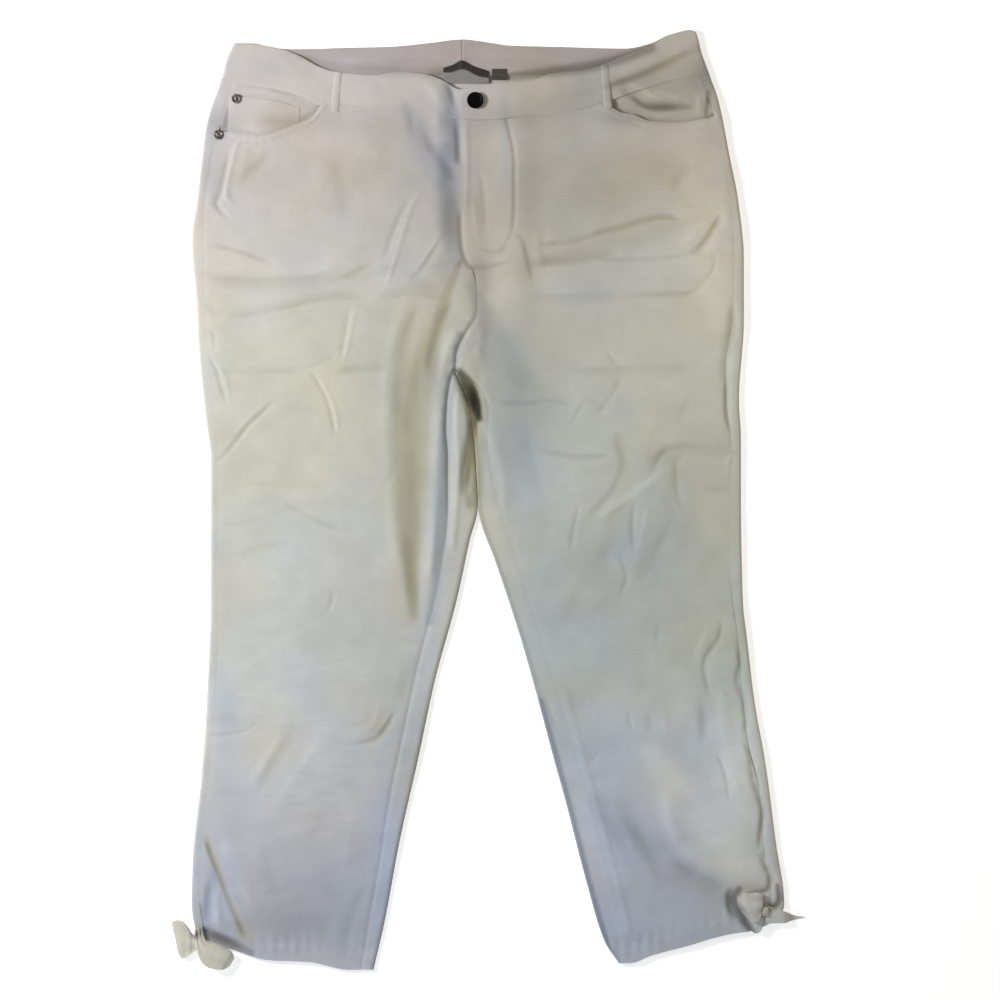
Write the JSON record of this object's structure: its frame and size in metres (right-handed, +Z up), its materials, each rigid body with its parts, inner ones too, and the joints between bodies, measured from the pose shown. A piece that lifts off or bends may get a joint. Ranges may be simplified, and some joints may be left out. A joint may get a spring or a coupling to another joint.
{
  "type": "capri pants, laid flat",
  "caption": "Off-white stretch twill cropped trousers lying flat, front up: contour waistband, shank button, pocket mouths with coin pocket, belt loops, bow ties at the hems.",
  "frame": {"origin": "centre of the box on the surface it lies on", "axes": "+X towards the wearer's left, +Y from the hems to the waist, +Z up out of the front"},
  "size_m": [0.6533, 0.966, 0.0145],
  "materials": {
    "twill": "matt stretch cotton twill",
    "tie_twill": "matt cotton twill strip",
    "label_cloth": "woven satin label, blank",
    "tag_cloth": "dark woven tag, blank",
    "button_metal": "dark plated, worn on the rim",
    "rivet_metal": "antique silver plating"
  },
  "bodies": {
    "root": {"front_right": "twill", "front_left": "twill", "back_right": "twill", "back_left": "twill", "waistband_right": "twill", "waistband_left": "twill", "pocket_facing_right": "twill", "pocket_facing_left": "twill", "coin_pocket": "twill", "belt_loop_right": "twill", "belt_loop_left": "twill", "tie_right_knot": "tie_twill", "tie_right_upper": "tie_twill", "tie_right_lower": "tie_twill", "tie_left_knot": "tie_twill", "tie_left_loop": "tie_twill", "tie_left_end": "tie_twill", "tie_left_tail": "tie_twill", "label": "label_cloth", "size_tag": "tag_cloth", "button": "button_metal", "rivet_coin": "rivet_metal", "rivet_pocket": "rivet_metal"}
  },
  "joints": []
}
